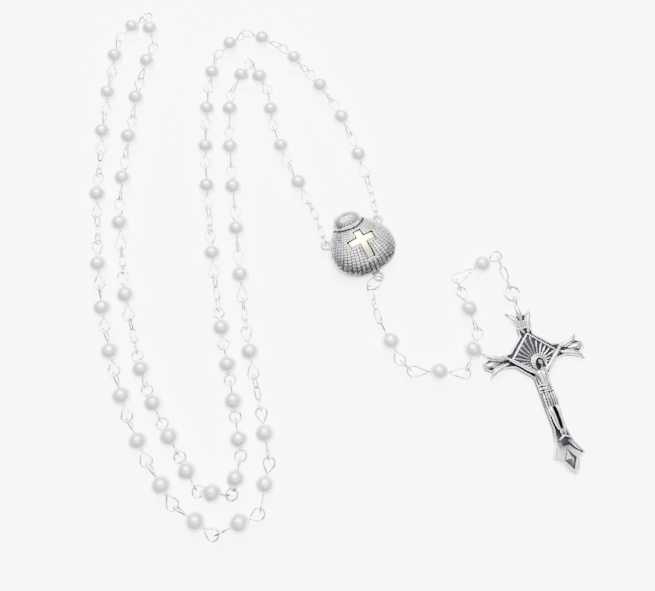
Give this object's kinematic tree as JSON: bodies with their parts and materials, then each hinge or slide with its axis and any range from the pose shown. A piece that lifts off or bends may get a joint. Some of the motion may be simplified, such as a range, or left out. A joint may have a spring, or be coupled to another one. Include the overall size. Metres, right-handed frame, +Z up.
{
  "type": "rosary",
  "caption": "Five-decade rosary of round pearl beads on jointed wire pins, with a hinged shell locket as centrepiece and a crucifix on a beaded pendant.",
  "frame": {"origin": "centre of the laid-out rosary's bounding box, on the surface it lies on", "axes": "+Z up from the surface, +Y towards the loop's upper bend, +X towards the crucifix"},
  "size_m": [0.1572, 0.1816, 0.0085],
  "materials": {
    "pearl": "white imitation pearl with a soft lustre",
    "silver_wire": "bright silver-coloured plating",
    "antique_silver": "cast, antique silver with darkened recesses",
    "pale_gold": "polished, pale gold"
  },
  "bodies": {
    "locket_base": {"locket_back_shell": "antique_silver", "locket_hinge_pin": "silver_wire"},
    "locket_lid": {"locket_front_shell": "antique_silver", "locket_cross_inlay": "pale_gold"},
    "chain_1": {"chain_1": "silver_wire"},
    "decade_1_beads_1_2": {"decade_1_beads_1_2": "pearl"},
    "decade_1_beads_3_4": {"decade_1_beads_3_4": "pearl"},
    "decade_1_beads_5_6": {"decade_1_beads_5_6": "pearl"},
    "decade_1_beads_7_8": {"decade_1_beads_7_8": "pearl"},
    "decade_1_beads_9_10": {"decade_1_beads_9_10": "pearl"},
    "chain_2": {"chain_2": "silver_wire"},
    "our_father_bead_1": {"our_father_bead_1": "pearl"},
    "chain_3": {"chain_3": "silver_wire"},
    "decade_2_beads_1_2": {"decade_2_beads_1_2": "pearl"},
    "decade_2_beads_3_4": {"decade_2_beads_3_4": "pearl"},
    "decade_2_beads_5_6": {"decade_2_beads_5_6": "pearl"},
    "decade_2_beads_7_8": {"decade_2_beads_7_8": "pearl"},
    "decade_2_beads_9_10": {"decade_2_beads_9_10": "pearl"},
    "chain_4": {"chain_4": "silver_wire"},
    "our_father_bead_2": {"our_father_bead_2": "pearl"},
    "chain_5": {"chain_5": "silver_wire"},
    "decade_3_beads_1_2": {"decade_3_beads_1_2": "pearl"},
    "decade_3_beads_3_4": {"decade_3_beads_3_4": "pearl"},
    "decade_3_beads_5_6": {"decade_3_beads_5_6": "pearl"},
    "chain_10": {"chain_10": "silver_wire"},
    "decade_5_beads_9_10": {"decade_5_beads_9_10": "pearl"},
    "decade_5_beads_7_8": {"decade_5_beads_7_8": "pearl"},
    "decade_5_beads_5_6": {"decade_5_beads_5_6": "pearl"},
    "decade_5_beads_3_4": {"decade_5_beads_3_4": "pearl"},
    "decade_5_beads_1_2": {"decade_5_beads_1_2": "pearl"},
    "chain_9": {"chain_9": "silver_wire"},
    "our_father_bead_4": {"our_father_bead_4": "pearl"},
    "chain_8": {"chain_8": "silver_wire"},
    "decade_4_beads_9_10": {"decade_4_beads_9_10": "pearl"},
    "decade_4_beads_7_8": {"decade_4_beads_7_8": "pearl"},
    "decade_4_beads_5_6": {"decade_4_beads_5_6": "pearl"},
    "decade_4_beads_3_4": {"decade_4_beads_3_4": "pearl"},
    "decade_4_beads_1_2": {"decade_4_beads_1_2": "pearl"},
    "chain_7": {"chain_7": "silver_wire"},
    "our_father_bead_3": {"our_father_bead_3": "pearl"},
    "chain_6": {"chain_6": "silver_wire"},
    "decade_3_beads_9_10": {"decade_3_beads_9_10": "pearl"},
    "decade_3_beads_7_8": {"decade_3_beads_7_8": "pearl"},
    "pendant_jump_ring": {"pendant_jump_ring": "silver_wire"},
    "pendant_chain_1": {"pendant_chain_1": "silver_wire"},
    "pendant_pin_1": {"pendant_pin_1": "silver_wire"},
    "pendant_chain_2": {"pendant_chain_2": "silver_wire"},
    "pendant_pin_2": {"pendant_pin_2": "silver_wire"},
    "pendant_pin_3": {"pendant_pin_3": "silver_wire"},
    "pendant_pin_4": {"pendant_pin_4": "silver_wire"},
    "pendant_chain_3": {"pendant_chain_3": "silver_wire"},
    "pendant_pin_5": {"pendant_pin_5": "silver_wire"},
    "pendant_chain_4": {"pendant_chain_4": "silver_wire"},
    "crucifix_ring": {"crucifix_ring": "silver_wire"},
    "crucifix": {"crucifix": "antique_silver"},
    "pendant_bead_1": {"pendant_bead_1": "pearl"},
    "pendant_bead_2": {"pendant_bead_2": "pearl"},
    "pendant_bead_3": {"pendant_bead_3": "pearl"},
    "pendant_bead_4": {"pendant_bead_4": "pearl"},
    "pendant_bead_5": {"pendant_bead_5": "pearl"}
  },
  "joints": [
    {"name": "locket_lid_hinge", "type": "hinge", "parent": "locket_base", "child": "locket_lid", "pos_m": [0.00641, 0.00547, 0.00355], "axis": [-0.8788, -0.4772, 0], "range_deg": [0, 95]},
    {"name": "chain_1_joint", "type": "hinge", "parent": "locket_base", "child": "chain_1", "pos_m": [0.01731, 0.00622, 0.00257], "axis": [1, 0, 0], "range_deg": [0, 14.74]},
    {"name": "decade_1_beads_1_2_joint", "type": "hinge", "parent": "chain_1", "child": "decade_1_beads_1_2", "pos_m": [0.01438, 0.02072, 0.003], "axis": [1, 0, 0], "range_deg": [0, 23.46]},
    {"name": "decade_1_beads_3_4_joint", "type": "hinge", "parent": "decade_1_beads_1_2", "child": "decade_1_beads_3_4", "pos_m": [0.00288, 0.0516, 0.003], "axis": [1, 0, 0], "range_deg": [0, 12.1]},
    {"name": "decade_1_beads_5_6_joint", "type": "hinge", "parent": "decade_1_beads_3_4", "child": "decade_1_beads_5_6", "pos_m": [-0.01599, 0.07571, 0.003], "axis": [1, 0, 0], "range_deg": [0, 7.45]},
    {"name": "decade_1_beads_7_8_joint", "type": "hinge", "parent": "decade_1_beads_5_6", "child": "decade_1_beads_7_8", "pos_m": [-0.03948, 0.07025, 0.003], "axis": [1, 0, 0], "range_deg": [-8.34, 0]},
    {"name": "decade_1_beads_9_10_joint", "type": "hinge", "parent": "decade_1_beads_7_8", "child": "decade_1_beads_9_10", "pos_m": [-0.0404, 0.03941, 0.003], "axis": [1, 0, 0], "range_deg": [-26.01, 0]},
    {"name": "chain_2_joint", "type": "hinge", "parent": "decade_1_beads_9_10", "child": "chain_2", "pos_m": [-0.03737, 0.00892, 0.003], "axis": [1, 0, 0], "range_deg": [-14.71, 0]},
    {"name": "our_father_bead_1_joint", "type": "hinge", "parent": "chain_2", "child": "our_father_bead_1", "pos_m": [-0.03631, 0.00105, 0.003], "axis": [1, 0, 0], "range_deg": [-8.7, 0]},
    {"name": "chain_3_joint", "type": "hinge", "parent": "our_father_bead_1", "child": "chain_3", "pos_m": [-0.03377, -0.01515, 0.003], "axis": [-1, 0, 0], "range_deg": [0, 7.73]},
    {"name": "decade_2_beads_1_2_joint", "type": "hinge", "parent": "chain_3", "child": "decade_2_beads_1_2", "pos_m": [-0.03196, -0.02509, 0.003], "axis": [-1, 0, 0], "range_deg": [0, 9.1]},
    {"name": "decade_2_beads_3_4_joint", "type": "hinge", "parent": "decade_2_beads_1_2", "child": "decade_2_beads_3_4", "pos_m": [-0.02677, -0.04891, 0.003], "axis": [-1, 0, 0], "range_deg": [0, 13.66]},
    {"name": "decade_2_beads_5_6_joint", "type": "hinge", "parent": "decade_2_beads_3_4", "child": "decade_2_beads_5_6", "pos_m": [-0.02263, -0.0705, 0.003], "axis": [-1, 0, 0], "range_deg": [0, 9.06]},
    {"name": "decade_2_beads_7_8_joint", "type": "hinge", "parent": "decade_2_beads_5_6", "child": "decade_2_beads_7_8", "pos_m": [-0.03575, -0.07817, 0.003], "axis": [-1, 0, 0], "range_deg": [-2.88, 0]},
    {"name": "decade_2_beads_9_10_joint", "type": "hinge", "parent": "decade_2_beads_7_8", "child": "decade_2_beads_9_10", "pos_m": [-0.04664, -0.05862, 0.003], "axis": [-1, 0, 0], "range_deg": [-14.73, 0]},
    {"name": "chain_4_joint", "type": "hinge", "parent": "decade_2_beads_9_10", "child": "chain_4", "pos_m": [-0.0556, -0.03861, 0.003], "axis": [-1, 0, 0], "range_deg": [-6.13, 0]},
    {"name": "our_father_bead_2_joint", "type": "hinge", "parent": "chain_4", "child": "our_father_bead_2", "pos_m": [-0.05868, -0.02898, 0.003], "axis": [-1, 0, 0], "range_deg": [-7.56, 0]},
    {"name": "chain_5_joint", "type": "hinge", "parent": "our_father_bead_2", "child": "chain_5", "pos_m": [-0.06264, -0.01307, 0.003], "axis": [-1, 0, 0], "range_deg": [-8.28, 0]},
    {"name": "decade_3_beads_1_2_joint", "type": "hinge", "parent": "chain_5", "child": "decade_3_beads_1_2", "pos_m": [-0.06409, -0.00564, 0.003], "axis": [1, 0, 0], "range_deg": [0, 9.53]},
    {"name": "decade_3_beads_3_4_joint", "type": "hinge", "parent": "decade_3_beads_1_2", "child": "decade_3_beads_3_4", "pos_m": [-0.06647, 0.02873, 0.003], "axis": [1, 0, 0], "range_deg": [0, 27.02]},
    {"name": "decade_3_beads_5_6_joint", "type": "hinge", "parent": "decade_3_beads_3_4", "child": "decade_3_beads_5_6", "pos_m": [-0.06502, 0.06083, 0.003], "axis": [1, 0, 0], "range_deg": [0, 22.28]},
    {"name": "chain_10_joint", "type": "hinge", "parent": "locket_base", "child": "chain_10", "pos_m": [0.00046, -0.00288, 0.00257], "axis": [1, 0, 0], "range_deg": [0, 7.95]},
    {"name": "decade_5_beads_9_10_joint", "type": "hinge", "parent": "chain_10", "child": "decade_5_beads_9_10", "pos_m": [-0.0045, 0.01099, 0.003], "axis": [1, 0, 0], "range_deg": [0, 16.03]},
    {"name": "decade_5_beads_7_8_joint", "type": "hinge", "parent": "decade_5_beads_9_10", "child": "decade_5_beads_7_8", "pos_m": [-0.01704, 0.03908, 0.003], "axis": [1, 0, 0], "range_deg": [0, 22.88]},
    {"name": "decade_5_beads_5_6_joint", "type": "hinge", "parent": "decade_5_beads_7_8", "child": "decade_5_beads_5_6", "pos_m": [-0.02586, 0.06897, 0.003], "axis": [1, 0, 0], "range_deg": [-3.15, 0]},
    {"name": "decade_5_beads_3_4_joint", "type": "hinge", "parent": "decade_5_beads_5_6", "child": "decade_5_beads_3_4", "pos_m": [-0.03234, 0.04036, 0.003], "axis": [1, 0, 0], "range_deg": [-13.61, 0]},
    {"name": "decade_5_beads_1_2_joint", "type": "hinge", "parent": "decade_5_beads_3_4", "child": "decade_5_beads_1_2", "pos_m": [-0.02882, 0.00974, 0.003], "axis": [1, 0, 0], "range_deg": [-30.11, 0]},
    {"name": "chain_9_joint", "type": "hinge", "parent": "decade_5_beads_1_2", "child": "chain_9", "pos_m": [-0.02455, -0.0232, 0.003], "axis": [-1, 0, 0], "range_deg": [0, 11.87]},
    {"name": "our_father_bead_4_joint", "type": "hinge", "parent": "chain_9", "child": "our_father_bead_4", "pos_m": [-0.02332, -0.031, 0.003], "axis": [-1, 0, 0], "range_deg": [0, 7.08]},
    {"name": "chain_8_joint", "type": "hinge", "parent": "our_father_bead_4", "child": "chain_8", "pos_m": [-0.02003, -0.04707, 0.003], "axis": [-1, 0, 0], "range_deg": [0, 7.2]},
    {"name": "decade_4_beads_9_10_joint", "type": "hinge", "parent": "chain_8", "child": "decade_4_beads_9_10", "pos_m": [-0.01791, -0.05529, 0.003], "axis": [-1, 0, 0], "range_deg": [0, 9.22]},
    {"name": "decade_4_beads_7_8_joint", "type": "hinge", "parent": "decade_4_beads_9_10", "child": "decade_4_beads_7_8", "pos_m": [-0.0158, -0.08358, 0.003], "axis": [-1, 0, 0], "range_deg": [0, 9.71]},
    {"name": "decade_4_beads_5_6_joint", "type": "hinge", "parent": "decade_4_beads_7_8", "child": "decade_4_beads_5_6", "pos_m": [-0.03991, -0.08311, 0.003], "axis": [-1, 0, 0], "range_deg": [-7.66, 0]},
    {"name": "decade_4_beads_3_4_joint", "type": "hinge", "parent": "decade_4_beads_5_6", "child": "decade_4_beads_3_4", "pos_m": [-0.05547, -0.05937, 0.003], "axis": [-1, 0, 0], "range_deg": [-14.97, 0]},
    {"name": "decade_4_beads_1_2_joint", "type": "hinge", "parent": "decade_4_beads_3_4", "child": "decade_4_beads_1_2", "pos_m": [-0.0655, -0.03276, 0.003], "axis": [-1, 0, 0], "range_deg": [-18.81, 0]},
    {"name": "chain_7_joint", "type": "hinge", "parent": "decade_4_beads_1_2", "child": "chain_7", "pos_m": [-0.07187, -0.0026, 0.003], "axis": [-1, 0, 0], "range_deg": [-3.62, 0]},
    {"name": "our_father_bead_3_joint", "type": "hinge", "parent": "chain_7", "child": "our_father_bead_3", "pos_m": [-0.07315, 0.0058, 0.003], "axis": [1, 0, 0], "range_deg": [0, 15.17]},
    {"name": "chain_6_joint", "type": "hinge", "parent": "our_father_bead_3", "child": "chain_6", "pos_m": [-0.0748, 0.02211, 0.003], "axis": [1, 0, 0], "range_deg": [0, 8.62]},
    {"name": "decade_3_beads_9_10_joint", "type": "hinge", "parent": "chain_6", "child": "decade_3_beads_9_10", "pos_m": [-0.07519, 0.02967, 0.003], "axis": [1, 0, 0], "range_deg": [0, 10.31]},
    {"name": "decade_3_beads_7_8_joint", "type": "hinge", "parent": "decade_3_beads_9_10", "child": "decade_3_beads_7_8", "pos_m": [-0.07559, 0.06179, 0.003], "axis": [1, 0, 0], "range_deg": [0, 25.96]},
    {"name": "pendant_jump_ring_joint", "type": "hinge", "parent": "locket_base", "child": "pendant_jump_ring", "pos_m": [0.01665, -0.01587, 0.00285], "axis": [-0.8, -0.6, 0], "range_deg": [0, 3.45]},
    {"name": "pendant_chain_1_joint", "type": "hinge", "parent": "pendant_jump_ring", "child": "pendant_chain_1", "pos_m": [0.0145, -0.01916, 0.003], "axis": [-0.8, -0.6, 0], "range_deg": [0, 6.42]},
    {"name": "pendant_pin_1_joint", "type": "hinge", "parent": "pendant_chain_1", "child": "pendant_pin_1", "pos_m": [0.0173, -0.03012, 0.003], "axis": [-0.8, -0.6, 0], "range_deg": [0, 13.3]},
    {"name": "pendant_chain_2_joint", "type": "hinge", "parent": "pendant_pin_1", "child": "pendant_chain_2", "pos_m": [0.02351, -0.04274, 0.003], "axis": [-0.8, -0.6, 0], "range_deg": [0, 10.42]},
    {"name": "pendant_pin_2_joint", "type": "hinge", "parent": "pendant_chain_2", "child": "pendant_pin_2", "pos_m": [0.0249, -0.04472, 0.003], "axis": [-0.8, -0.6, 0], "range_deg": [0, 8.34]},
    {"name": "pendant_pin_3_joint", "type": "hinge", "parent": "pendant_pin_2", "child": "pendant_pin_3", "pos_m": [0.0434, -0.0454, 0.003], "axis": [-0.8, -0.6, 0], "range_deg": [0, 1.52]},
    {"name": "pendant_pin_4_joint", "type": "hinge", "parent": "pendant_pin_3", "child": "pendant_pin_4", "pos_m": [0.04699, -0.03153, 0.003], "axis": [-0.8, -0.6, 0], "range_deg": [-11.7, 0]},
    {"name": "pendant_chain_3_joint", "type": "hinge", "parent": "pendant_pin_4", "child": "pendant_chain_3", "pos_m": [0.04225, -0.01851, 0.003], "axis": [-0.8, -0.6, 0], "range_deg": [-9.66, 0]},
    {"name": "pendant_pin_5_joint", "type": "hinge", "parent": "pendant_chain_3", "child": "pendant_pin_5", "pos_m": [0.04026, -0.01625, 0.003], "axis": [-0.8, -0.6, 0], "range_deg": [-1.17, 0]},
    {"name": "pendant_chain_4_joint", "type": "hinge", "parent": "pendant_pin_5", "child": "pendant_chain_4", "pos_m": [0.05604, -0.00727, 0.003], "axis": [-0.8, -0.6, 0], "range_deg": [0, 6.78]},
    {"name": "crucifix_ring_joint", "type": "hinge", "parent": "pendant_chain_4", "child": "crucifix_ring", "pos_m": [0.05814, -0.01774, 0.0017], "axis": [-0.8, -0.6, 0], "range_deg": [0, 8.06]},
    {"name": "crucifix_swing", "type": "hinge", "parent": "crucifix_ring", "child": "crucifix", "pos_m": [0.05917, -0.02222, 0.0017], "axis": [-0.9744, -0.225, 0], "range_deg": [0, 100]},
    {"name": "pendant_bead_1_spin", "type": "hinge", "parent": "pendant_pin_1", "child": "pendant_bead_1", "pos_m": [0.02026, -0.03585, 0.003], "axis": [0.4272, -0.9042, 0], "continuous": true},
    {"name": "pendant_bead_2_spin", "type": "hinge", "parent": "pendant_pin_2", "child": "pendant_bead_2", "pos_m": [0.03415, -0.04506, 0.003], "axis": [0.9993, -0.0372, 0], "continuous": true},
    {"name": "pendant_bead_3_spin", "type": "hinge", "parent": "pendant_pin_3", "child": "pendant_bead_3", "pos_m": [0.0446, -0.03844, 0.003], "axis": [0.3274, 0.9449, 0], "continuous": true},
    {"name": "pendant_bead_4_spin", "type": "hinge", "parent": "pendant_pin_4", "child": "pendant_bead_4", "pos_m": [0.04442, -0.02559, 0.003], "axis": [-0.2941, 0.9558, 0], "continuous": true},
    {"name": "pendant_bead_5_spin", "type": "hinge", "parent": "pendant_pin_5", "child": "pendant_bead_5", "pos_m": [0.04973, -0.01086, 0.003], "axis": [0.869, 0.4948, 0], "continuous": true}
  ],
  "couplings": [
    {"joint": "decade_1_beads_1_2_joint", "follows": "chain_1_joint", "ratio": 1.59},
    {"joint": "decade_1_beads_3_4_joint", "follows": "chain_1_joint", "ratio": 0.81974},
    {"joint": "decade_1_beads_5_6_joint", "follows": "chain_1_joint", "ratio": 0.50397},
    {"joint": "decade_1_beads_7_8_joint", "follows": "chain_1_joint", "ratio": -0.56474},
    {"joint": "decade_1_beads_9_10_joint", "follows": "chain_1_joint", "ratio": -1.7631},
    {"joint": "chain_2_joint", "follows": "chain_1_joint", "ratio": -0.99662},
    {"joint": "our_father_bead_1_joint", "follows": "chain_1_joint", "ratio": -0.58921},
    {"joint": "decade_2_beads_1_2_joint", "follows": "chain_3_joint", "ratio": 1.1761},
    {"joint": "decade_2_beads_3_4_joint", "follows": "chain_3_joint", "ratio": 1.7659},
    {"joint": "decade_2_beads_5_6_joint", "follows": "chain_3_joint", "ratio": 1.1711},
    {"joint": "decade_2_beads_7_8_joint", "follows": "chain_3_joint", "ratio": -0.37084},
    {"joint": "decade_2_beads_9_10_joint", "follows": "chain_3_joint", "ratio": -1.9045},
    {"joint": "chain_4_joint", "follows": "chain_3_joint", "ratio": -0.79191},
    {"joint": "our_father_bead_2_joint", "follows": "chain_3_joint", "ratio": -0.97625},
    {"joint": "chain_5_joint", "follows": "chain_3_joint", "ratio": -1.0696},
    {"joint": "decade_3_beads_1_2_joint", "follows": "chain_1_joint", "ratio": 0.64554},
    {"joint": "decade_3_beads_3_4_joint", "follows": "chain_1_joint", "ratio": 1.8313},
    {"joint": "decade_3_beads_5_6_joint", "follows": "chain_1_joint", "ratio": 1.5105},
    {"joint": "chain_10_joint", "follows": "chain_1_joint", "ratio": 0.53848},
    {"joint": "decade_5_beads_9_10_joint", "follows": "chain_1_joint", "ratio": 1.0865},
    {"joint": "decade_5_beads_7_8_joint", "follows": "chain_1_joint", "ratio": 1.5508},
    {"joint": "decade_5_beads_5_6_joint", "follows": "chain_1_joint", "ratio": -0.21244},
    {"joint": "decade_5_beads_3_4_joint", "follows": "chain_1_joint", "ratio": -0.922},
    {"joint": "decade_5_beads_1_2_joint", "follows": "chain_1_joint", "ratio": -2.0413},
    {"joint": "chain_9_joint", "follows": "chain_3_joint", "ratio": 1.5345},
    {"joint": "our_father_bead_4_joint", "follows": "chain_3_joint", "ratio": 0.91431},
    {"joint": "chain_8_joint", "follows": "chain_3_joint", "ratio": 0.92996},
    {"joint": "decade_4_beads_9_10_joint", "follows": "chain_3_joint", "ratio": 1.1912},
    {"joint": "decade_4_beads_7_8_joint", "follows": "chain_3_joint", "ratio": 1.2546},
    {"joint": "decade_4_beads_5_6_joint", "follows": "chain_3_joint", "ratio": -0.98906},
    {"joint": "decade_4_beads_3_4_joint", "follows": "chain_3_joint", "ratio": -1.9357},
    {"joint": "decade_4_beads_1_2_joint", "follows": "chain_3_joint", "ratio": -2.4327},
    {"joint": "chain_7_joint", "follows": "chain_3_joint", "ratio": -0.46708},
    {"joint": "our_father_bead_3_joint", "follows": "chain_1_joint", "ratio": 1.0278},
    {"joint": "chain_6_joint", "follows": "chain_1_joint", "ratio": 0.58396},
    {"joint": "decade_3_beads_9_10_joint", "follows": "chain_1_joint", "ratio": 0.69834},
    {"joint": "decade_3_beads_7_8_joint", "follows": "chain_1_joint", "ratio": 1.7595},
    {"joint": "pendant_chain_1_joint", "follows": "pendant_jump_ring_joint", "ratio": 1.8574},
    {"joint": "pendant_pin_1_joint", "follows": "pendant_jump_ring_joint", "ratio": 3.85},
    {"joint": "pendant_chain_2_joint", "follows": "pendant_jump_ring_joint", "ratio": 3.0167},
    {"joint": "pendant_pin_2_joint", "follows": "pendant_jump_ring_joint", "ratio": 2.4133},
    {"joint": "pendant_pin_3_joint", "follows": "pendant_jump_ring_joint", "ratio": 0.43667},
    {"joint": "pendant_pin_4_joint", "follows": "pendant_jump_ring_joint", "ratio": -3.3867},
    {"joint": "pendant_chain_3_joint", "follows": "pendant_jump_ring_joint", "ratio": -2.7967},
    {"joint": "pendant_pin_5_joint", "follows": "pendant_jump_ring_joint", "ratio": -0.33333},
    {"joint": "pendant_chain_4_joint", "follows": "pendant_jump_ring_joint", "ratio": 1.9607},
    {"joint": "crucifix_ring_joint", "follows": "pendant_jump_ring_joint", "ratio": 2.3318}
  ]
}
